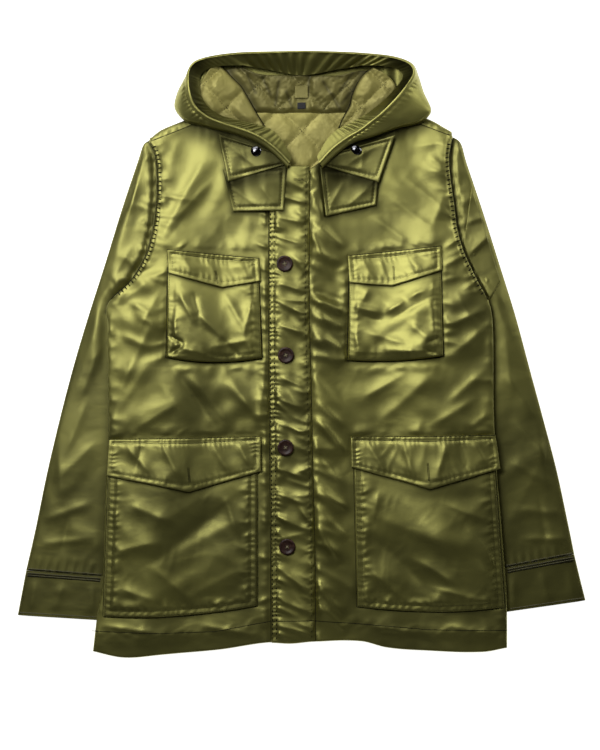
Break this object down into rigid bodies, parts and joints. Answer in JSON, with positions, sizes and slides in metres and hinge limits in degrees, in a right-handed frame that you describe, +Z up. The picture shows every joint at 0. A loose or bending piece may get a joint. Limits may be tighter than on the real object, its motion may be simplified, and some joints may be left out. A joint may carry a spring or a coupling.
{
  "type": "parka",
  "caption": "Hooded field parka with flap pockets, a buttoned placket and quilted lining, laid flat on its back, front up.",
  "frame": {"origin": "centre of the garment's bounding box, on the surface that it lies on", "axes": "+X to the wearer's left, +Y from the hem to the hood, +Z up, out of the garment's front"},
  "size_m": [0.809, 0.8597, 0.0418],
  "materials": {
    "shell_satin": "satin nylon, soft broad highlights",
    "quilted_lining": "quilted matt nylon lining",
    "button_horn": "dark brown polished button resin",
    "snap_enamel": "black gloss enamel",
    "label_tape": "black woven tape, blank"
  },
  "bodies": {
    "root": {"arm_pocket": "shell_satin", "back": "shell_satin", "button_1": "button_horn", "button_2": "button_horn", "button_3": "button_horn", "button_4": "button_horn", "chest_flap_left": "shell_satin", "chest_flap_right": "shell_satin", "chest_pocket_left": "shell_satin", "chest_pocket_right": "shell_satin", "cuff_left": "shell_satin", "cuff_right": "shell_satin", "front_left": "shell_satin", "front_right": "shell_satin", "hanger_patch": "quilted_lining", "hood_crown": "shell_satin", "hood_facing": "shell_satin", "hood_lining": "quilted_lining", "hood_lining_ear_left": "quilted_lining", "hood_lining_ear_right": "quilted_lining", "hood_side": "shell_satin", "lower_flap_left": "shell_satin", "lower_flap_right": "shell_satin", "lower_pocket_left": "shell_satin", "lower_pocket_right": "shell_satin", "neck_lining": "quilted_lining", "neck_tab": "label_tape", "placket": "shell_satin", "sleeve_left": "shell_satin", "sleeve_right": "shell_satin", "snap_left": "snap_enamel", "snap_right": "snap_enamel", "throat_flap_lower_left": "shell_satin", "throat_flap_lower_right": "shell_satin", "throat_flap_upper_left": "shell_satin", "throat_flap_upper_right": "shell_satin", "yoke_left": "shell_satin", "yoke_right": "shell_satin"}
  },
  "joints": []
}
